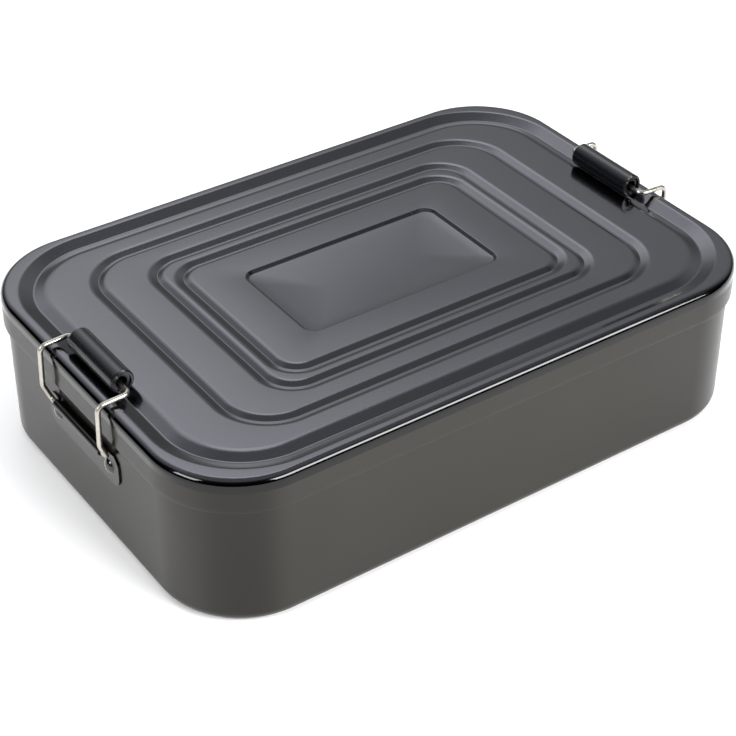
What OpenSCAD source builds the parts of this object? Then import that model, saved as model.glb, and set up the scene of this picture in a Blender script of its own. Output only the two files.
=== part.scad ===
// Aluminium lunch box: a deep-drawn tray, a slip-over pressed lid, and a hinged wire
// bail with a plastic roller at each end that snaps into a valley in the lid.
// Millimetres, +Z up.  The origin is on the table under the middle of the tray,
// X runs along the length, Y across the width.

/* [Box] */
// Length over the lid rim, end to end
box_l = 230; // [190:1:290]
// Width over the lid rim
box_w = 157; // [130:1:200]
// Height from the table to the crest of the lid rim
box_h = 58.4; // [50:0.2:110]
// Corner radius of the lid rim, seen from above
corner_r = 32; // [28:0.5:38]
// Thickness of the lid sheet
lid_sheet = 0.9; // [0.6:0.1:1.2]
// Thickness of the tray sheet
tray_sheet = 0.9; // [0.6:0.1:1.5]
// Gap between the lid skirt and the tray wall
lid_gap = 0.5; // [0.3:0.1:1]
// Height of the lid skirt, rim crest to lower edge
skirt_h = 12.4; // [8:0.2:16]
// Outside radius between the tray wall and its floor
floor_r = 4.5; // [3:0.5:8]

/* [Lid pressing] */
// Radius of the lid's outer edge, where the skirt turns over
edge_r = 2.6; // [2.2:0.1:2.8]
// Radius of the crown on top of the rim
crown_r = 2.8; // [2.8:0.1:3.6]
// Distance from the lid edge to the bottom of the valley
valley_in = 9.1; // [9:0.1:10]
// Depth of the valley below the rim crest
valley_depth = 1.9; // [1.6:0.1:2.2]
// Width of the slope from the rim down into the valley
valley_outer_w = 4.9; // [4.4:0.1:5]
// Width of the slope from the valley up to the lid's field
valley_inner_w = 4.5; // [4:0.1:6]
// Corner radius of the valley
valley_r = 29; // [26:0.5:31]
// Height of the rim crest above the lid's field
rim_rise = 0.4; // [0:0.1:0.8]
// Depth of each V groove in the field
groove_depth = 1.1; // [0.7:0.1:1.6]
// Half width of each V groove
groove_half = 2.1; // [1.6:0.1:2.3]
// Distance of the outer groove from the lid ends
outer_groove_x = 31.1; // [29:0.5:35]
// Distance of the outer groove from the lid sides
outer_groove_y = 23; // [22:0.5:25]
// Corner radius of the outer groove
outer_groove_r = 18; // [14:0.5:22]
// Distance of the middle groove from the lid ends
mid_groove_x = 50.1; // [48:0.5:51]
// Distance of the middle groove from the lid sides
mid_groove_y = 34.7; // [33:0.5:36]
// Corner radius of the middle groove
mid_groove_r = 11.5; // [9:0.5:14]
// Distance of the inner groove from the lid ends
inner_groove_x = 57; // [56.5:0.5:60]
// Distance of the inner groove from the lid sides
inner_groove_y = 42.2; // [41:0.5:44]
// Corner radius of the inner groove
inner_groove_r = 9.5; // [7:0.5:12]
// Distance of the middle panel from the lid ends
panel_x = 74.9; // [70:0.5:80]
// Distance of the middle panel from the lid sides
panel_y = 56.8; // [54:0.2:60]
// Depth of the middle panel below the field
panel_depth = 1; // [0.5:0.1:1.5]
// Corner radius of the middle panel
panel_r = 5; // [4:0.5:8]

/* [Closures] */
// Diameter of the bail wire
wire_d = 1.8; // [1.6:0.1:2.2]
// Distance between the middles of the two bail arms
bail_w = 39; // [36:0.5:44]
// Length of the roller
roller_l = 29; // [26:0.5:33]
// Outside diameter of the roller
roller_d = 8.6; // [8:0.1:9]
// Diameter of the roller's bore, loose on the wire
roller_bore_d = 4; // [3:0.1:4.6]
// Distance of the roller's middle from the lid end when closed
roller_in = 9.4; // [9:0.1:9.8]
// Height of the bail's hinge pin above the table
pin_z = 39; // [36:0.5:41]
// Thickness of the bracket sheet
bracket_sheet = 0.6; // [0.5:0.1:0.8]
// Length of the rolled hinge barrel
barrel_l = 30.8; // [26:0.2:31]
// Width of the bracket plate
plate_w = 47; // [44:0.5:52]
// Height of the bracket plate
plate_h = 12.5; // [11:0.5:14]
// Distance between the two rivets of one bracket
rivet_span = 34.6; // [32:0.2:36]
// Diameter of a rivet's domed head
rivet_head_d = 5.6; // [5:0.1:6]
// Diameter of a rivet's shank
rivet_d = 3.2; // [3:0.1:3.6]

/* [Hidden] */
$fn = 64;

half_l = box_l / 2;
half_w = box_w / 2;
fit_gap = 0.05;          // a rivet in its hole, the wire in the rolled barrel
spin_gap = 0.1;          // the bore's wall and the wire at their closest
rest_gap = 0.05;         // the lid's turned edge over the tray's top edge
swing_gap = 0.3;         // the roller passing over the rim
over = 2;                // how far a cutter runs past the face it opens

// lid: the crown arc is tangent to the edge arc at this angle above horizontal
edge_turn = 60;
crest_in = edge_r + (crown_r - edge_r) * cos(edge_turn);
edge_z = box_h - crown_r + (crown_r - edge_r) * sin(edge_turn);
field_z = box_h - rim_rise;
valley_z = box_h - valley_depth;
// grooves from the outside in: distance from the ends, distance from the sides, corner radius
grooves = [[outer_groove_x, outer_groove_y, outer_groove_r],
           [mid_groove_x, mid_groove_y, mid_groove_r],
           [inner_groove_x, inner_groove_y, inner_groove_r]];
// radii the press leaves where a slope meets the flat sheet, and at the root of a V
rim_brow = 3;
valley_brow = 2.5;
valley_root = 1.5;
groove_brow = 1;
groove_root = 0.3;
panel_wall = 1.1;        // run of the panel's wall
panel_foot = 0.8;        // radius at its foot
panel_brow = 0.6;        // radius at its brow

// tray: set in from the lid by the skirt and its gap
tray_in = lid_sheet + lid_gap;
tray_half_l = half_l - tray_in;
tray_half_w = half_w - tray_in;
tray_r = corner_r - tray_in;
// the tray's top edge meets the underside of the lid's turned edge
tray_h = edge_z + sqrt(pow(edge_r - lid_sheet, 2) - pow(edge_r - tray_in, 2)) - rest_gap;

// closures: measured from the tray's end wall, outward, as (outward, height) pairs
wire_r = wire_d / 2;
barrel_bore = wire_r + fit_gap;
barrel_r = barrel_bore + bracket_sheet;
pin_out = barrel_r + bracket_sheet / 2 - fit_gap;
pin_x = tray_half_l + pin_out;
roller_r = roller_d / 2;
roller_bore = roller_bore_d / 2;
roller_x = half_l - roller_in;
// the roller's circle about the pin has to clear the brow where the rim drops to the valley
brow_reach = norm([pin_x - half_l + valley_in - valley_outer_w, box_h - pin_z]);
bail_reach = brow_reach + roller_r + swing_gap;
roller_z = pin_z + sqrt(pow(bail_reach, 2) - pow(pin_x - roller_x, 2));
// the wire pulls the loose roller down, so it lies on the side of the bore towards the pin
bar = [roller_x, roller_z] + (roller_bore - wire_r - spin_gap)
      * [pin_x - roller_x, pin_z - roller_z] / bail_reach;
shoulder = [half_l + 2.3, bar[1] - 0.6];    // upper outside bend of an arm
knee = [half_l + 2.8, pin_z + 6];           // lower outside bend of an arm
pin_end = 6;                                // gap left between the two wire ends, halved
bar_bend = 2.2;                             // centreline radii of the bends, top to bottom
shoulder_bend = 2.4;
knee_bend = 4;
pin_bend = 2;
wire_lap = 0.05;                            // how far a straight runs on into its bend
wire_draw = 0.01;                           // how much thinner the wire is in a bend
arm_y = bail_w / 2;
seam = 0.3;                                 // open seam along the rolled barrel
seam_turn = 125;                            // where it lies, down from the outward side
arm_slot = 1;                               // slot beside the barrel, along the pin
plate_top = pin_z + 1.2;
plate_corner = 4.5;
rivet_z = pin_z - 5.2;
dome_h = 1.3;                               // rivet: height of the head's dome,
tail_h = 0.9;                               // of the formed tail inside the tray,
tail_r = 2.3;                               // the tail's radius
tail_edge = 0.3;                            // and the bevel round it
roller_rim = 1.1;                           // width of the rim round the roller's dished end
roller_dish = 0.6;
roller_bevel = 0.4;

// ---- plan and profile helpers ------------------------------------------------

function unit(v) = v / norm(v);
function mirrored(p) = [for (i = [len(p) - 1 : -1 : 0]) [-p[i][0], p[i][1]]];
// arc of radius r about c, in [x, z], from angle a to angle b
function arc(c, r, a, b, n) = [for (i = [0:n]) let (t = a + (b - a) * i / n) c + r * [cos(t), sin(t)]];
// corner q between p and s rounded to radius r: the arc from one tangent point to the other
function eased(p, q, s, r, n) =
    let (u = unit(p - q), v = unit(s - q), h = acos(u * v) / 2, c = q + unit(u + v) * r / sin(h),
         a = q + u * r / tan(h) - c, b = q + v * r / tan(h) - c,
         ta = atan2(a[1], a[0]), d = atan2(b[1], b[0]) - ta,
         turn = d > 180 ? d - 360 : d < -180 ? d + 360 : d)
    arc(c, r, ta, ta + turn, n);

// solid slab on a rounded rectangle; the profile is [distance in from the side, z], bottom to top
module slab(hx, hy, r, profile) {
    low = profile[0][1];
    high = profile[len(profile) - 1][1];
    for (q = [0:3]) {
        sx = q == 0 || q == 3 ? 1 : -1;
        sy = q < 2 ? 1 : -1;
        translate([sx * (hx - r), sy * (hy - r), 0]) rotate([0, 0, 90 * q])
            rotate_extrude(angle = 90)
                polygon(concat([[0, low]], [for (p = profile) [r - p[0], p[1]]], [[0, high]]));
    }
    right = [for (p = profile) [hy - p[0], p[1]]];
    rotate([90, 0, 90]) linear_extrude(2 * (hx - r), center = true)
        polygon(concat(right, mirrored(right)));
    ends = [for (p = profile) [hx - p[0], p[1]]];
    rotate([90, 0, 0]) linear_extrude(2 * (hy - r), center = true)
        polygon(concat(ends, mirrored(ends)));
}

// closed section carried round a rounded rectangle; the section is [distance outward, z]
module ring(hx, hy, r, section) {
    for (q = [0:3]) {
        sx = q == 0 || q == 3 ? 1 : -1;
        sy = q < 2 ? 1 : -1;
        translate([sx * (hx - r), sy * (hy - r), 0]) rotate([0, 0, 90 * q])
            rotate_extrude(angle = 90)
                polygon([for (p = section) [r + p[0], p[1]]]);
    }
    for (s = [0, 180]) rotate([0, 0, s]) {
        rotate([90, 0, 90]) linear_extrude(2 * (hx - r), center = true)
            polygon([for (p = section) [hy + p[0], p[1]]]);
        rotate([90, 0, 0]) linear_extrude(2 * (hy - r), center = true)
            polygon([for (p = section) [hx + p[0], p[1]]]);
    }
}

// V-shaped cutter section: crests eased into the sheet on both sides, a tight root
function vee(w_out, z_out, w_in, z_in, z_root, r_out, r_in, r_root) =
    let (a = [w_out, z_out], f = [0, z_root], b = [-w_in, z_in],
         crest_a = eased(a + [over, 0], a, f, r_out, 5),
         root = eased(a, f, b, r_root, 4),
         crest_b = eased(f, b, b - [over, 0], r_in, 5),
         top = box_h + over)
    concat([[crest_a[0][0], top]], crest_a, root, crest_b, [[crest_b[len(crest_b) - 1][0], top]]);

// ---- the lid -----------------------------------------------------------------

// rim of the lid surface set in by t: skirt, edge arc, crown
function rim_profile(t) = concat(
    [[t, box_h - skirt_h - t]],
    arc([edge_r, edge_z], edge_r - t, 180, 180 - edge_turn, 5),
    arc([crest_in, box_h - crown_r], crown_r - t, 180 - edge_turn, 90, 3));

module pressings() {
    valley_x = half_l - valley_in;
    valley_y = half_w - valley_in;
    ring(valley_x, valley_y, valley_r,
         vee(valley_outer_w, box_h, valley_inner_w, field_z, valley_z,
             rim_brow, valley_brow, valley_root));
    field_in = valley_inner_w;
    slab(valley_x - field_in, valley_y - field_in, valley_r - field_in,
         [[0, field_z], [0, box_h + over]]);
    for (g = grooves)
        ring(half_l - g[0], half_w - g[1], g[2],
             vee(groove_half, field_z, groove_half, field_z, field_z - groove_depth,
                 groove_brow, groove_brow, groove_root));
    slab(half_l - panel_x, half_w - panel_y, panel_r, panel_profile());
}

// walls of the middle panel: foot and brow eased, then straight up out of the sheet
function panel_profile() =
    let (foot = [panel_wall, field_z - panel_depth], brow = [0, field_z],
         low = eased(foot + [over, 0], foot, brow, panel_foot, 4),
         high = eased(foot, brow, brow - [over, 0], panel_brow, 4))
    concat(low, high, [[high[len(high) - 1][0], box_h + over]]);

module lid_surface(t) {
    difference() {
        slab(half_l, half_w, corner_r, rim_profile(t));
        translate([0, 0, -t]) pressings();
    }
}

module lid() {
    color("dimgray") difference() {
        lid_surface(0);
        lid_surface(lid_sheet);
    }
}

// ---- the tray ----------------------------------------------------------------

function tub_profile(t, top) = concat(
    arc([floor_r, floor_r], floor_r - t, 270, 180, 6), [[t, top]]);

module rivet_holes(s) {
    for (y = [-1, 1]) translate([0, y * rivet_span / 2, rivet_z]) rotate([0, s * 90, 0])
        cylinder(h = tray_half_l + over, r = rivet_d / 2 + fit_gap);
}

module tray() {
    color("gray") difference() {
        slab(tray_half_l, tray_half_w, tray_r, tub_profile(0, tray_h));
        slab(tray_half_l, tray_half_w, tray_r, tub_profile(tray_sheet, tray_h + over));
        for (s = [-1, 1]) difference() {
            rivet_holes(s);
            cube([2 * tray_half_l - 4 * over, box_w, 2 * box_h], center = true);
        }
    }
}

// ---- the closures ------------------------------------------------------------
// Each is drawn at the right-hand end; the left-hand one is its mirror image.

module at_end(side) {
    mirror([side == "left" ? 1 : 0, 0, 0]) children();
}

// stamped plate against the end wall, its middle rolled out into the hinge barrel
module bracket(side) {
    at_end(side) color("darkslategray") difference() {
        union() {
            translate([tray_half_l, 0, 0]) rotate([90, 0, 90]) linear_extrude(bracket_sheet)
                plate_outline();
            translate([pin_x, 0, pin_z]) rotate([90, 0, 0])
                cylinder(h = barrel_l, r = barrel_r, center = true);
        }
        translate([pin_x, 0, pin_z]) rotate([90, 0, 0])
            cylinder(h = barrel_l + over, r = barrel_bore, center = true);
        // the open seam where the rolled edge comes back round to the plate
        translate([pin_x, 0, pin_z]) rotate([0, seam_turn, 0])
            translate([0, -barrel_l / 2 - over, -seam / 2])
                cube([barrel_r + over, barrel_l + 2 * over, seam]);
        // clearance slots beside the barrel, where the wire turns in
        for (y = [-1, 1]) translate([pin_x, y * (barrel_l + arm_slot) / 2, pin_z])
            cube([2 * (barrel_r + over), arm_slot, 2.4 * barrel_r], center = true);
        rivet_holes(1);
    }
}

module plate_outline() {
    w = plate_w / 2 - plate_corner;
    difference() {
        union() {
            for (y = [-w, w], z = [plate_top - plate_corner, plate_top - plate_h + plate_corner])
                translate([y, z]) circle(plate_corner);
            translate([-plate_w / 2, plate_top - plate_h + plate_corner])
                square([plate_w, plate_h - 2 * plate_corner]);
            translate([-w, plate_top - plate_h]) square([2 * w, plate_h]);
        }
        // between the ears the sheet is rolled away, so its edge stops at the barrel
        translate([-barrel_l / 2, pin_z]) square([barrel_l, plate_top - pin_z + over]);
    }
}

// rivet seen as a turned shape on its own axis: formed tail, shank, domed head
module rivet_pair(side) {
    dome_r = (pow(rivet_head_d / 2, 2) + pow(dome_h, 2)) / (2 * dome_h);
    dome_turn = asin(rivet_head_d / 2 / dome_r);
    grip = bracket_sheet + tray_sheet;
    dome = arc([0, grip + dome_h - dome_r], dome_r, 90 - dome_turn, 90, 6);
    at_end(side) color("silver") for (y = [-1, 1])
        translate([tray_half_l - tray_sheet, y * rivet_span / 2, rivet_z]) rotate([0, 90, 0])
            rotate_extrude() polygon(concat(
                [[0, -tail_h], [tail_r - tail_edge, -tail_h], [tail_r, tail_edge - tail_h],
                 [tail_r, 0], [rivet_d / 2, 0], [rivet_d / 2, grip]],
                [for (p = dome) [max(0, p[0]), p[1]]]));
}

// one straight length of the wire from a to b, run a little into the bends at both ends
module wire(a, b) {
    u = unit(b - a);
    translate(a - u * wire_lap) rotate([0, acos(u[2]), atan2(u[1], u[0])])
        cylinder(h = norm(b - a) + 2 * wire_lap, r = wire_r);
}

// one bend of the wire at corner q between p and s, on centreline radius r; the wire
// draws down slightly where it is bent
module bend(p, q, s, r) {
    u = unit(p - q);
    v = unit(s - q);
    h = acos(u * v) / 2;
    c = q + unit(u + v) * r / sin(h);
    out = unit(q + u * r / tan(h) - c);
    axis = unit(cross(q + u * r / tan(h) - c, q + v * r / tan(h) - c));
    side = cross(axis, out);
    translate(c) rotate([atan2(side[2], axis[2]), -asin(out[2]), atan2(out[1], out[0])])
        rotate_extrude(angle = 180 - 2 * h) translate([r, 0]) circle(wire_r - wire_draw);
}

// length of leg that a bend of radius r takes up at corner q
function bend_leg(p, q, s, r) = r / tan(acos(unit(p - q) * unit(s - q)) / 2);

// the bail's centreline corners from one wire end round to the other
function bail_path() =
    let (half = [[pin_x, pin_end, pin_z], [pin_x, arm_y, pin_z], [knee[0], arm_y, knee[1]],
                 [shoulder[0], arm_y, shoulder[1]], [bar[0], arm_y, bar[1]]])
    concat(half, [for (i = [len(half) - 1:-1:0]) [half[i][0], -half[i][1], half[i][2]]]);

module bail(side) {
    path = bail_path();
    turns = [0, pin_bend, knee_bend, shoulder_bend, bar_bend];
    last = len(path) - 1;
    at_end(side) color("gainsboro") {
        for (i = [1:last - 1])
            bend(path[i - 1], path[i], path[i + 1], turns[min(i, last - i)]);
        for (i = [0:last - 1]) {
            a = path[i];
            b = path[i + 1];
            ta = i == 0 ? 0 : bend_leg(path[i - 1], a, b, turns[min(i, last - i)]);
            tb = i == last - 1 ? 0 : bend_leg(a, b, path[i + 2], turns[min(i + 1, last - i - 1)]);
            wire(a + unit(b - a) * ta, b - unit(b - a) * tb);
        }
    }
}

// plastic tube on the bail's top bar, dished at both ends round the bore
module roller(side) {
    end = roller_l / 2;
    half = [[roller_bore, end - roller_dish], [roller_r - roller_rim, end - roller_dish],
            [roller_r - roller_rim, end], [roller_r - roller_bevel, end],
            [roller_r, end - roller_bevel]];
    at_end(side) color("black") translate([roller_x, 0, roller_z]) rotate([90, 0, 0])
        rotate_extrude() polygon(concat(half,
            [for (i = [len(half) - 1:-1:0]) [half[i][0], -half[i][1]]]));
}

module bracket_left() bracket("left");
module bracket_right() bracket("right");
module rivets_left() rivet_pair("left");
module rivets_right() rivet_pair("right");
module bail_left() bail("left");
module bail_right() bail("right");
module roller_left() roller("left");
module roller_right() roller("right");

tray();
lid();
bracket_left();
bracket_right();
rivets_left();
rivets_right();
bail_left();
bail_right();
roller_left();
roller_right();
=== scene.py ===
# A modern aluminium lunch box: a drawn tray, a loose pressed lid, and a wire bail with a
# plastic roller at each end that snaps over the rim into the valley round the lid.
# Metres, +Z up, the origin on the table under the middle of the tray.
import math
import bpy
import numpy as np
from mathutils import Matrix, Vector


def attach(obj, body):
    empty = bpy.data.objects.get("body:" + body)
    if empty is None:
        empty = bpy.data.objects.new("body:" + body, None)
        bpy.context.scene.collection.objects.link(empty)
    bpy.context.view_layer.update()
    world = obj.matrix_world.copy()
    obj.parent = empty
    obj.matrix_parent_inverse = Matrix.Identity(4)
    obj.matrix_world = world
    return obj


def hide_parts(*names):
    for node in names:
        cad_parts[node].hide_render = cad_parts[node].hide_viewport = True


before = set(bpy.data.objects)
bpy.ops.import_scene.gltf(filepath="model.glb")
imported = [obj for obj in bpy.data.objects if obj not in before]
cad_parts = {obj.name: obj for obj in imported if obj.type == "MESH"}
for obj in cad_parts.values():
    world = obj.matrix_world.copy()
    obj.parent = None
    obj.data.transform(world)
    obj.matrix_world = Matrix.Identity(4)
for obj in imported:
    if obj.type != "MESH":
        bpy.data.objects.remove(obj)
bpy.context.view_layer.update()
MM = 0.001

# ---- Where the box is seen from ----------------------------------------------------------
# A long lens out beyond the front left corner, looking down on the lid at about 35 degrees,
# with its frame shifted a little down, so that the box sits higher in the picture.
camera_turn, camera_rise, camera_roll = -35.127, 35.057, 0.236
camera_distance, camera_target = 0.674661, Vector((0, 0, 0.030))
lens_pixels, frame_pixels, centre_shift = 1906.79, 736, (3.865, -35.335)
turn, rise = math.radians(camera_turn), math.radians(camera_rise)
back = Vector((math.sin(turn) * math.cos(rise), -math.cos(turn) * math.cos(rise), math.sin(rise)))
eye = bpy.data.cameras.new("camera")
eye.sensor_width = 36
eye.lens = lens_pixels / frame_pixels * 36
eye.shift_x = -centre_shift[0] / frame_pixels
eye.shift_y = centre_shift[1] / frame_pixels
eye.clip_start, eye.clip_end = 0.05, 20
camera = bpy.data.objects.new("camera", eye)
bpy.context.scene.collection.objects.link(camera)
camera.location = camera_target + back * camera_distance
camera.rotation_euler = ((-back).to_track_quat("-Z", "Y").to_matrix()
                         @ Matrix.Rotation(math.radians(camera_roll), 3, "Z")).to_euler()
bpy.context.scene.camera = camera

# ---- The tray ------------------------------------------------------------------------------
# Deep-drawn from one aluminium sheet with large corners and a small floor radius, polished
# by the drawing tool and dyed dark grey in the anodising bath.
lid_half_l, lid_half_w, lid_top, lid_corner_r = 115.0, 78.5, 58.4, 32.0
tray_h, tray_in = 56.9, 1.4
tray_half_l, tray_half_w, tray_r = (v - tray_in for v in (lid_half_l, lid_half_w, lid_corner_r))
tray_sheet, floor_r = 0.9, 4.5


def bow(cx, cz, r, start, end, n):
    """n + 1 points (x, z) on a circle about (cx, cz) from angle start to end, in degrees."""
    t = np.radians(np.linspace(start, end, n + 1))
    return np.stack([cx + r * np.cos(t), cz + r * np.sin(t)], 1)


def eased(p, q, s, r, n):
    """Corner q between p and s rounded to radius r: n + 1 points on the arc that touches both
    sides, whose centre lies r / sin(half the corner's angle) from q along the bisector."""
    p, q, s = (np.array(v, float) for v in (p, q, s))
    u, v = (p - q) / np.linalg.norm(p - q), (s - q) / np.linalg.norm(s - q)
    h = math.acos(np.clip(u @ v, -1, 1)) / 2
    c = q + (u + v) / np.linalg.norm(u + v) * r / math.sin(h)
    a, b = q + u * r / math.tan(h) - c, q + v * r / math.tan(h) - c
    t0 = math.atan2(a[1], a[0])
    d = (math.atan2(b[1], b[0]) - t0 + math.pi) % (2 * math.pi) - math.pi
    t = t0 + d * np.linspace(0, 1, n + 1)
    return np.stack([c[0] + r * np.cos(t), c[1] + r * np.sin(t)], 1)


def closed_skin(name, rings, smooth_ends=True):
    """A piece whose surface is n rings of m points, in millimetres. Point j of ring i, its
    neighbour and the two beside them on the next ring make a quad; the end rings are filled."""
    n, m = rings.shape[:2]
    i, j = np.meshgrid(np.arange(n - 1), np.arange(m), indexing="ij")
    k = (j + 1) % m
    quads = np.stack([i * m + j, i * m + k, (i + 1) * m + k, (i + 1) * m + j], 2).reshape(-1, 4)
    ends = [list(range(m))[::-1], list(range((n - 1) * m, n * m))]
    mesh = bpy.data.meshes.new(name)
    mesh.from_pydata((rings.reshape(-1, 3) * MM).tolist(), [], quads.tolist() + ends)
    mesh.polygons.foreach_set("use_smooth", [True] * len(quads) + [smooth_ends] * len(ends))
    piece = bpy.data.objects.new(name, mesh)
    bpy.context.scene.collection.objects.link(piece)
    return piece


def drawn_shell(name, half_l, half_w, rows, per_corner=28, per_side=6):
    """A sheet shape carried round rounded rectangles. Each row (inset from the ends, inset
    from the sides, corner radius, height) is one rounded rectangle: four arcs, each its centre
    plus r (cos t, sin t), and four straights divided evenly."""
    rows = np.asarray(rows, float)
    hx, hy, r, z = half_l - rows[:, 0], half_w - rows[:, 1], rows[:, 2], rows[:, 3]
    loops = []
    for q in range(4):
        sx, sy = (1 if q in (0, 3) else -1), (1 if q < 2 else -1)
        t = np.radians(90 * q + np.linspace(0, 90, per_corner + 1))
        loops.append(np.stack([(sx * (hx - r))[:, None] + r[:, None] * np.cos(t),
                               (sy * (hy - r))[:, None] + r[:, None] * np.sin(t)], 2))
    around = []
    for q in range(4):
        a, b = loops[q][:, -1], loops[(q + 1) % 4][:, 0]
        f = np.arange(1, per_side)[None, :, None] / per_side
        around += [loops[q], a[:, None] * (1 - f) + b[:, None] * f]
    plan = np.concatenate(around, 1)
    heights = np.repeat(z[:, None, None], plan.shape[1], 1)
    return closed_skin(name, np.concatenate([plan, heights], 2))


def level_rows(profile, r0):
    """Rows for a profile of (inset, height) points that keeps the same inset all round."""
    p = np.asarray(profile, float)
    return np.stack([p[:, 0], p[:, 0], r0 - p[:, 0], p[:, 1]], 1)


def floor_rows(z):
    """The flat floor at height z, from its middle out, in three rounded rectangles."""
    return np.array([[26, 26, 5, z], [14, 14, tray_r - 14, z], [8, 8, tray_r - 8, z]])


edge = tray_sheet / 2  # the cut edge is rounded over the sheet's thickness
wall_z = [20, 40, tray_h - 0.6]
tray_rows = np.concatenate([
    floor_rows(tray_sheet),
    level_rows(bow(floor_r, floor_r, floor_r - tray_sheet, 270, 180, 10), tray_r),
    level_rows([[tray_sheet, z] for z in wall_z], tray_r),
    level_rows(bow(edge, tray_h - edge, edge, 0, 180, 8), tray_r),
    level_rows([[0, z] for z in wall_z[::-1]], tray_r),
    level_rows(bow(floor_r, floor_r, floor_r, 180, 270, 14), tray_r),
    floor_rows(0)[::-1]])
tray = drawn_shell("tray_drawn", tray_half_l, tray_half_w, tray_rows)
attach(tray, "tub")
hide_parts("tray")


def socket(group, name, kind, value, way="INPUT"):
    """A named input or output of a node group, with its value where it has one."""
    made = group.interface.new_socket(name=name, in_out=way, socket_type=kind)
    if value is not None:
        made.default_value = value


def spread(node, low, high, start=0.0, end=1.0):
    """Makes a Map Range node turn start to end into low to high."""
    for name, value in (("From Min", start), ("From Max", end), ("To Min", low), ("To Max", high)):
        node.inputs[name].default_value = value


def dyed_finish():
    """Anodised aluminium: a dye that is a little uneven, gloss that varies with handling, and
    the relief of the sheet's own grain, whose size and height are inputs."""
    g = bpy.data.node_groups.new("dyed_finish", "ShaderNodeTree")
    socket(g, "Dye", "NodeSocketColor", (0.1, 0.1, 0.1, 1))
    socket(g, "Gloss loss", "NodeSocketFloat", 0.3)
    socket(g, "Grain per metre", "NodeSocketFloat", 1500)
    socket(g, "Grain height", "NodeSocketFloat", 0.0001)
    socket(g, "Colour", "NodeSocketColor", None, "OUTPUT")
    socket(g, "Roughness", "NodeSocketFloat", None, "OUTPUT")
    socket(g, "Normal", "NodeSocketVector", None, "OUTPUT")
    n, link = g.nodes, g.links.new
    given, out = n.new("NodeGroupInput"), n.new("NodeGroupOutput")
    place = n.new("ShaderNodeTexCoord")
    cloud, cloud_span = n.new("ShaderNodeTexNoise"), (0.3, 0.7)
    cloud.inputs["Scale"].default_value = 26
    cloud.inputs["Detail"].default_value = 3
    link(place.outputs["Object"], cloud.inputs["Vector"])
    grain = n.new("ShaderNodeTexNoise")
    grain.inputs["Detail"].default_value = 3
    grain.inputs["Roughness"].default_value = 0.6
    link(place.outputs["Object"], grain.inputs["Vector"])
    link(given.outputs["Grain per metre"], grain.inputs["Scale"])
    dye = n.new("ShaderNodeMix")
    dye.data_type = "RGBA"
    dye.blend_type = "MULTIPLY"
    dye.inputs["Factor"].default_value = 1
    tone = n.new("ShaderNodeMapRange")
    spread(tone, 0.94, 1.06, *cloud_span)
    link(cloud.outputs["Fac"], tone.inputs["Value"])
    link(given.outputs["Dye"], dye.inputs["A"])
    link(tone.outputs["Result"], dye.inputs["B"])
    link(dye.outputs["Result"], out.inputs["Colour"])
    haze = n.new("ShaderNodeMapRange")
    spread(haze, 0.95, 1.05, *cloud_span)
    link(cloud.outputs["Fac"], haze.inputs["Value"])
    rough = n.new("ShaderNodeMath")
    rough.operation = "MULTIPLY"
    link(given.outputs["Gloss loss"], rough.inputs[0])
    link(haze.outputs["Result"], rough.inputs[1])
    link(rough.outputs["Value"], out.inputs["Roughness"])
    relief = n.new("ShaderNodeBump")
    relief.inputs["Strength"].default_value = 1
    link(given.outputs["Grain height"], relief.inputs["Distance"])
    link(grain.outputs["Fac"], relief.inputs["Height"])
    link(relief.outputs["Normal"], out.inputs["Normal"])
    return g


finish_group = dyed_finish()


def anodised(name, dye, gloss_loss, grain, height, seal_loss, seal=1.0, drawn=0.0):
    """Dyed metal under the clear sealed oxide layer, with so many grains to the metre, each
    height metres high. Where the sheet was buffed, drawn stretches its gloss along the walls'
    height."""
    m = bpy.data.materials.new(name)
    m.use_nodes = True
    n, link = m.node_tree.nodes, m.node_tree.links.new
    shade = n["Principled BSDF"]
    shade.inputs["Metallic"].default_value = 1
    shade.inputs["Coat Weight"].default_value = seal
    shade.inputs["Coat Roughness"].default_value = seal_loss
    shade.inputs["Anisotropic"].default_value = drawn
    look = n.new("ShaderNodeGroup")
    look.node_tree = finish_group
    look.inputs["Dye"].default_value = (*dye, 1)
    look.inputs["Gloss loss"].default_value = gloss_loss
    look.inputs["Grain per metre"].default_value = grain
    look.inputs["Grain height"].default_value = height
    link(look.outputs["Colour"], shade.inputs["Base Color"])
    link(look.outputs["Roughness"], shade.inputs["Roughness"])
    link(look.outputs["Normal"], shade.inputs["Normal"])
    if drawn:
        height_way = n.new("ShaderNodeCombineXYZ")
        height_way.inputs["Z"].default_value = 1
        link(height_way.outputs["Vector"], shade.inputs["Tangent"])
    return m


wall_finish = anodised("buffed_wall", dye=(0.0225, 0.0207, 0.0165), gloss_loss=0.44, grain=300,
                       height=0.004 * MM, drawn=0.9, seal_loss=0.04, seal=0.5)
tray.data.materials.append(wall_finish)

# ---- The lid -------------------------------------------------------------------------------
# One aluminium pressing that slips over the tray. From the edge inward: skirt, domed crown,
# the valley the rollers drop into, three V grooves and a shallow sunken panel in the middle.
lid_sheet, skirt_h = 0.9, 12.4
edge_r, crown_r, edge_turn, crown_turn = 2.6, 2.8, 60, 89
edge_steps, crown_steps = 8, 5
crest_in = edge_r + (crown_r - edge_r) * math.cos(math.radians(edge_turn))
edge_z = lid_top - crown_r + (crown_r - edge_r) * math.sin(math.radians(edge_turn))
field_z = lid_top - 0.4
valley_in, valley_r, valley_z = 9.1, 29.0, lid_top - 1.9
valley_out, valley_back = 4.9, 4.5  # how wide its outer and inner slopes are
grooves = [(31.1, 23.0, 18.0), (50.1, 34.7, 11.5), (57.0, 42.2, 9.5)]
groove_out, groove_in, groove_depth = 2.9, 2.2, 1.05
panel_x, panel_y, panel_r, panel_depth, panel_dish = 74.9, 56.8, 5.0, 1.0, 0.6
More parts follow.
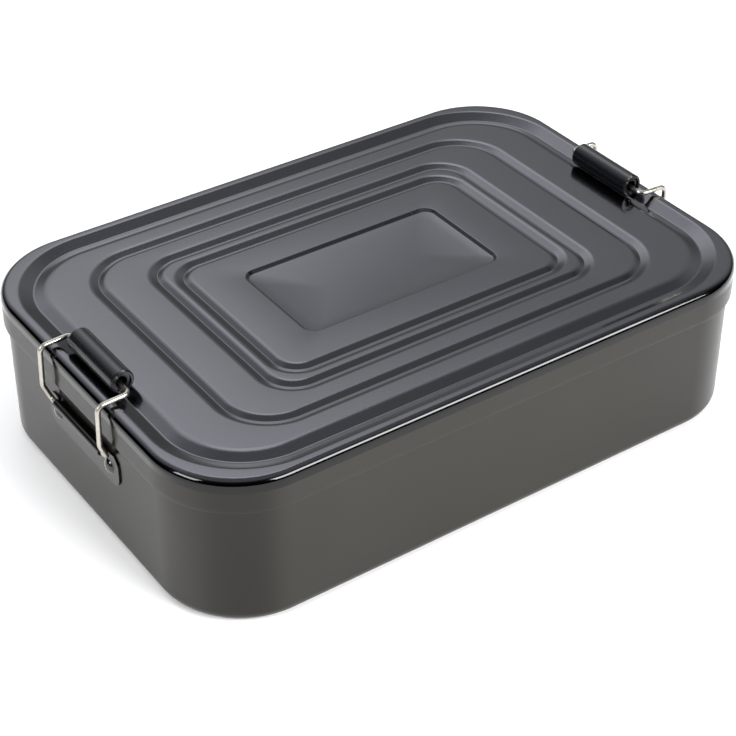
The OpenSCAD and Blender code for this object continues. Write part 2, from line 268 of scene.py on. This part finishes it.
panel_slope = 1.1  # how far in the panel's edge comes down to its floor


def pressed_rows(inset_x, inset_y, r, profile):
    """Rows for a profile of (distance inward from the crease, height) points that follows a
    crease with its own insets and corner radius."""
    p = np.asarray(profile, float)
    return np.stack([inset_x + p[:, 0], inset_y + p[:, 0], r - p[:, 0], p[:, 1]], 1)


def groove_profile(w_out, z_out, w_in, z_in, z_root, r_out, r_in, r_root, n=8):
    """A V pressed in the sheet: the outer slope, a tight root and the inner slope, with the
    brows where they meet the flat sheet eased."""
    a, f, b = (-w_out, z_out), (0, z_root), (w_in, z_in)
    return np.concatenate([eased((a[0] - 2, z_out), a, f, r_out, n), eased(a, f, b, r_root, n),
                           eased(f, b, (b[0] + 2, z_in), r_in, n)])


def turned_profile(depth):
    """The turned edge and then the crown, both arcs set in by depth from the outer surface."""
    return np.concatenate([
        bow(edge_r, edge_z, edge_r - depth, 180, 180 - edge_turn, edge_steps),
        bow(crest_in, lid_top - crown_r, crown_r - depth, 180 - edge_turn, 180 - crown_turn,
            crown_steps)[1:]])


top_rows = [level_rows(turned_profile(0), lid_corner_r),
            pressed_rows(valley_in, valley_in, valley_r, groove_profile(
                valley_out, lid_top, valley_back, field_z, valley_z, r_out=3, r_in=8, r_root=1.5))]
for inset_x, inset_y, r in grooves:
    top_rows.append(pressed_rows(inset_x, inset_y, r, groove_profile(
        groove_out, field_z, groove_in, field_z, field_z - groove_depth,
        r_out=5, r_in=4, r_root=0.5)))
step_top, step_foot = (0, field_z), (panel_slope, field_z - panel_depth)
top_rows.append(pressed_rows(panel_x, panel_y, panel_r, np.concatenate([
    eased((-2, field_z), step_top, step_foot, 0.6, 6),
    eased(step_top, step_foot, (panel_slope + 2, step_foot[1]), 0.8, 6)])))
# the panel's floor sinks towards its middle as a parabola of the way in
inward = np.linspace(0.12, 0.95, 9)
way_in = inward * (lid_half_w - panel_y)
top_rows.append(np.stack([panel_x + way_in, panel_y + way_in, panel_r * (1 - inward),
                          step_foot[1] - panel_dish * (1 - (1 - inward) ** 2)], 1))
top_rows = np.concatenate(top_rows)
# underneath, the same sheet is one thickness lower, and set in by one where it turns over
under_rows = top_rows.copy()
under_rows[:, 3] -= lid_sheet
under_rows[:edge_steps + 1 + crown_steps] = level_rows(turned_profile(lid_sheet), lid_corner_r)
skirt_z, lip_r = lid_top - skirt_h, lid_sheet / 2
skirt_ends = np.array([edge_z - 2, skirt_z + 2])
lip = bow(lip_r, skirt_z + lip_r, lip_r, 180, 360, 10)
lid_rows = np.concatenate([
    top_rows[::-1], level_rows([[0, z] for z in skirt_ends], lid_corner_r),
    level_rows(lip, lid_corner_r),
    level_rows([[lid_sheet, z] for z in skirt_ends[::-1]], lid_corner_r), under_rows])
lid = drawn_shell("lid_pressed", lid_half_l, lid_half_w, lid_rows, per_corner=32, per_side=8)
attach(lid, "lid")
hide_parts("lid")
lid.data.materials.append(anodised(
    "blasted_lid", dye=(0.039, 0.040, 0.048), gloss_loss=0.2, grain=1300, height=0.05 * MM,
    seal_loss=0.09))
# the turned edge: glossy, and dyed darker than the lid it is pressed with, as painted shade for
# the dark band along it
lid.data.materials.append(anodised(
    "turned_edge_painted_shade", dye=(0.012, 0.012, 0.012), gloss_loss=0.12, grain=300, height=0.002 * MM,
    seal_loss=0.03, seal=0.45))
lid.data.materials.append(wall_finish)
# the blasting stops where the edge turns over; the skirt keeps the gloss of the walls. The turned
# edge's dye, far darker than the rest of the pressing, is painted shade that deepens the dark band
# it reflects
belt = len(lid.data.polygons) // (len(lid_rows) - 1)
first = len(top_rows) - edge_steps
last = len(top_rows) + len(skirt_ends) + len(lip) + 1
finish_of = np.zeros(len(lid.data.polygons), np.int32)  # counts along the lid's materials
finish_of[first * belt:last * belt] = 2
finish_of[first * belt:(first + edge_steps) * belt] = 1
lid.data.polygons.foreach_set("material_index", finish_of)

# ---- The brackets and rivets ---------------------------------------------------------------
# A stamped plate on each end wall, its middle rolled into the barrel the wire turns in, held
# by two domed aluminium rivets.


def refinish(node, finish):
    """Gives a CAD node a finish in place of its own."""
    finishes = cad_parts[node].data.materials
    finishes.clear()
    finishes.append(finish)


# the bracket is dyed darker than the wall's sheet: painted shade that makes its rolled barrel look
# black
bracket_shaded_finish = anodised("bracket_sheet", dye=(0.0135, 0.0128, 0.0108), gloss_loss=0.36,
                          grain=700, height=0.003 * MM, seal_loss=0.05, seal=0.5)
rivet_finish = anodised("rivet_head", dye=(0.02, 0.019, 0.017), gloss_loss=0.25, grain=700,
                        height=0.003 * MM, seal_loss=0.04)
for end in ("left", "right"):
    refinish("bracket_" + end, bracket_shaded_finish)
    refinish("rivets_" + end, rivet_finish)

# ---- The wire bails ------------------------------------------------------------------------
# Each is one bright drawn steel wire, bent round a former: both ends turn into the barrel, two
# arms rise past the skirt, and the top bar carries the roller.
wire_dull, wire_marks = (0.22, 0.36), 400
wire_shadow, wire_light = (0.36, 0.34, 0.30, 1), (0.58, 0.55, 0.49, 1)
wire_finish = bpy.data.materials.new("bright_wire")
wire_finish.use_nodes = True
wn, wl = wire_finish.node_tree.nodes, wire_finish.node_tree.links.new
wire_shade = wn["Principled BSDF"]
wire_shade.inputs["Metallic"].default_value = 1
wire_place, draw_marks, wire_gloss, wire_tone = (wn.new("ShaderNodeTexCoord"), wn.new(
    "ShaderNodeTexNoise"), wn.new("ShaderNodeMapRange"), wn.new("ShaderNodeMix"))
draw_marks.inputs["Scale"].default_value = wire_marks
spread(wire_gloss, *wire_dull)
wire_tone.data_type = "RGBA"
wire_tone.inputs["A"].default_value, wire_tone.inputs["B"].default_value = wire_shadow, wire_light
wl(wire_place.outputs["Object"], draw_marks.inputs["Vector"])
wl(draw_marks.outputs["Fac"], wire_gloss.inputs["Value"])
wl(draw_marks.outputs["Fac"], wire_tone.inputs["Factor"])
wl(wire_gloss.outputs["Result"], wire_shade.inputs["Roughness"])
wl(wire_tone.outputs["Result"], wire_shade.inputs["Base Color"])
wire_r, arm_y, pin_end = 0.89, 19.5, 6.0
pin, knee, shoulder, bar = (115.4, 39.0), (117.8, 45.0), (117.3, 59.979), (105.999, 60.579)
bends = [2.0, 4.0, 2.4, 2.2]  # the radii of the bends at the pin, the knee, the shoulder, the bar


def bent_path(corners, radii, n):
    """The corners joined by straights, each inner one rounded to its radius: n + 1 points of
    the arc that touches both straights, by turning one spoke of it into the other."""
    corners = [np.array(c, float) for c in corners]
    made = [corners[0]]
    for p, q, s, r in zip(corners, corners[1:], corners[2:], radii):
        u, v = (p - q) / np.linalg.norm(p - q), (s - q) / np.linalg.norm(s - q)
        h = math.acos(np.clip(u @ v, -1, 1)) / 2
        c = q + (u + v) / np.linalg.norm(u + v) * r / math.sin(h)
        a, b, d = q + u * r / math.tan(h) - c, q + v * r / math.tan(h) - c, math.pi - 2 * h
        made += [c + (a * math.sin((1 - f) * d) + b * math.sin(f * d)) / math.sin(d)
                 for f in np.linspace(0, 1, n + 1)]
    return np.array(made + [corners[-1]])


def drawn_wire(name, path, radius, around=24):
    """A round wire: a ring of points square to the path at each of its points, each ring
    turned from the last one by no more than the path turns, and both ends closed."""
    way = np.gradient(path, axis=0)
    way /= np.linalg.norm(way, axis=1)[:, None]
    t = np.linspace(0, 2 * math.pi, around, endpoint=False)[:, None]
    askew = (0.3, 0.4, 0.86)  # a direction the path doesn't start along
    side = np.cross(way[0], askew)
    rings = []
    for point, along in zip(path, way):
        side = side - (side @ along) * along
        side /= np.linalg.norm(side)
        rings.append(point + radius * (np.cos(t) * side + np.sin(t) * np.cross(along, side)))
    return closed_skin(name, np.array(rings), smooth_ends=False)


half = [(pin[0], pin_end, pin[1])] + [(x, arm_y, z) for x, z in (pin, knee, shoulder, bar)]
round_trip = half + [(x, -y, z) for x, y, z in half[::-1]]
for end, sx in (("left", -1), ("right", 1)):
    path = bent_path([(sx * x, y, z) for x, y, z in round_trip], bends + bends[::-1], 10)
    wire = drawn_wire("wire_" + end, path, wire_r)
    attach(wire, "bail_" + end)
    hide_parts("bail_" + end)
    wire.data.materials.append(wire_finish)

# ---- The rollers ---------------------------------------------------------------------------
# A black plastic tube that turns on the top bar and drops into the valley of the lid.
roller_black, roller_dull = (0.004, 0.0045, 0.006, 1), (0.18, 0.28)
roller_grains, roller_grain_h = 1500, 0.03 * MM
roller_finish = bpy.data.materials.new("roller_plastic")
roller_finish.use_nodes = True
rn, rl = roller_finish.node_tree.nodes, roller_finish.node_tree.links.new
roller_shade = rn["Principled BSDF"]
roller_shade.inputs["Base Color"].default_value = roller_black
roller_place, roller_grain, roller_gloss, roller_relief = (rn.new("ShaderNodeTexCoord"), rn.new(
    "ShaderNodeTexNoise"), rn.new("ShaderNodeMapRange"), rn.new("ShaderNodeBump"))
roller_grain.inputs["Scale"].default_value = roller_grains
spread(roller_gloss, *roller_dull)
roller_relief.inputs["Distance"].default_value = roller_grain_h
rl(roller_place.outputs["Object"], roller_grain.inputs["Vector"])
rl(roller_grain.outputs["Fac"], roller_gloss.inputs["Value"])
rl(roller_grain.outputs["Fac"], roller_relief.inputs["Height"])
rl(roller_gloss.outputs["Result"], roller_shade.inputs["Roughness"])
rl(roller_relief.outputs["Normal"], roller_shade.inputs["Normal"])
for end in ("left", "right"):
    refinish("roller_" + end, roller_finish)

# ---- The studio ----------------------------------------------------------------------------
# A white floor, a soft box on the left, a wider one on the front right, a broad fill overhead,
# and a room whose dim wall and ceiling show as soft tones in the lid.
reach, floor_white, floor_glow = 4, (0.8, 0.8, 0.8, 1), 0.16
floor_mesh = bpy.data.meshes.new("floor")
floor_mesh.from_pydata([(-reach, -reach, 0), (reach, -reach, 0), (reach, reach, 0),
                        (-reach, reach, 0)], [], [(0, 1, 2, 3)])
floor = bpy.data.objects.new("floor", floor_mesh)
bpy.context.scene.collection.objects.link(floor)
floor_finish = bpy.data.materials.new("floor")
floor_finish.use_nodes = True
ft = floor_finish.node_tree
ft.nodes.remove(ft.nodes["Principled BSDF"])
paper, glow, seen, ray, sharp, through, lift = (ft.nodes.new(kind) for kind in (
    "ShaderNodeBsdfDiffuse", "ShaderNodeEmission", "ShaderNodeAddShader", "ShaderNodeLightPath",
    "ShaderNodeMath", "ShaderNodeMath", "ShaderNodeMath"))
paper.inputs["Color"].default_value = floor_white
# what the camera sees of the floor, straight or mirrored, is lifted a little towards white
sharp.operation = through.operation = "ADD"
lift.operation = "MULTIPLY"
lift.inputs[1].default_value = floor_glow
ft.links.new(ray.outputs["Is Camera Ray"], sharp.inputs[0])
ft.links.new(ray.outputs["Is Glossy Ray"], sharp.inputs[1])
ft.links.new(sharp.outputs["Value"], through.inputs[0])
ft.links.new(ray.outputs["Is Transmission Ray"], through.inputs[1])
ft.links.new(through.outputs["Value"], lift.inputs[0])
ft.links.new(lift.outputs["Value"], glow.inputs["Strength"])
ft.links.new(paper.outputs["BSDF"], seen.inputs[0])
ft.links.new(glow.outputs["Emission"], seen.inputs[1])
ft.links.new(seen.outputs["Shader"], ft.nodes["Material Output"].inputs["Surface"])
floor_mesh.materials.append(floor_finish)


def bearing(turned, risen):
    """The direction turned degrees anticlockwise from +X and risen degrees above the floor."""
    a, e = math.radians(turned), math.radians(risen)
    return Vector((math.cos(a) * math.cos(e), math.sin(a) * math.cos(e), math.sin(e)))


def soft_box(name, turned, risen, distance, width, height, power):
    """An area lamp that shines on the middle of the box from a bearing."""
    way = bearing(turned, risen)
    lamp = bpy.data.lights.new(name, "AREA")
    lamp.shape = "RECTANGLE"
    lamp.size, lamp.size_y, lamp.energy = width, height, power
    made = bpy.data.objects.new(name, lamp)
    bpy.context.scene.collection.objects.link(made)
    made.location = camera_target + way * distance
    made.rotation_euler = way.to_track_quat("Z", "Y").to_euler()  # shines along its -Z
    return made


soft_box("left_box", 180, 33, distance=2.2, width=0.9, height=0.71, power=28)
soft_box("right_box", -66, 33, distance=2.2, width=1.5, height=0.7, power=74)
fill = soft_box("overhead_fill", 0, 90, distance=3, width=3, height=3, power=46)
fill.visible_glossy = False  # its square would show in the lid
room = bpy.data.worlds.new("room")
bpy.context.scene.world = room
room.use_nodes = True
rt = room.node_tree
rnew, rlink = rt.nodes.new, rt.links.new
sky = rt.nodes["Background"]
sky.inputs["Color"].default_value = (0.97, 0.985, 1.03, 1)  # a cool white
whither = rnew("ShaderNodeTexCoord")


def toward(way, start, end, low, high):
    """A smooth step from low to high as the direction turns towards way, by its cosine."""
    dot, step = rnew("ShaderNodeVectorMath"), rnew("ShaderNodeMapRange")
    dot.operation = "DOT_PRODUCT"
    dot.inputs[1].default_value = way
    step.interpolation_type = "SMOOTHSTEP"
    spread(step, low, high, start, end)
    rlink(whither.outputs["Generated"], dot.inputs[0])
    rlink(dot.outputs["Value"], step.inputs["Value"])
    return step.outputs["Result"]


def both(operation, a, b):
    """The outputs a and b put together by one sum, product or greater-of."""
    made = rnew("ShaderNodeMath")
    made.operation = operation
    rlink(a, made.inputs[0])
    rlink(b, made.inputs[1])
    return made.outputs["Value"]


flat_back = Vector((back.x, back.y, 0)).normalized()
up = (0, 0, 1)
# the wall beyond the box: dark behind the camera, fading upwards, towards the floor and sideways
light = toward(-flat_back, 0.25, 0.75, 0.05, 0.82)
for fade in (toward(up, 0.70, 0.88, 1, 0), toward(up, 0.2, 0.6, 0.25, 1.0),
             toward(bearing(100, 0), 0.45, 0.72, 0.92, 1.1)):
    light = both("MULTIPLY", light, fade)
# the ceiling, and four soft patches of light on and above the wall
for patch in (toward(up, 0.70, 0.90, 0, 0.56),
              toward(bearing(78, 39), 0.93, 1.0, 0, 0.7),
              toward(bearing(62, 50), 0.94, 1.0, 0, 1.1),
              toward(bearing(58, 56), 0.98, 0.998, 0, 1.8),
              toward(bearing(112, 46), 0.90, 1.0, 0, 0.4)):
    light = both("ADD", light, patch)
# where the floor ends, the camera sees white
looked_at = rnew("ShaderNodeLightPath").outputs["Is Camera Ray"]
light = both("MAXIMUM", light, both("ADD", looked_at, looked_at))
rlink(light, sky.inputs["Strength"])
bpy.context.scene.view_settings.view_transform = "Standard"
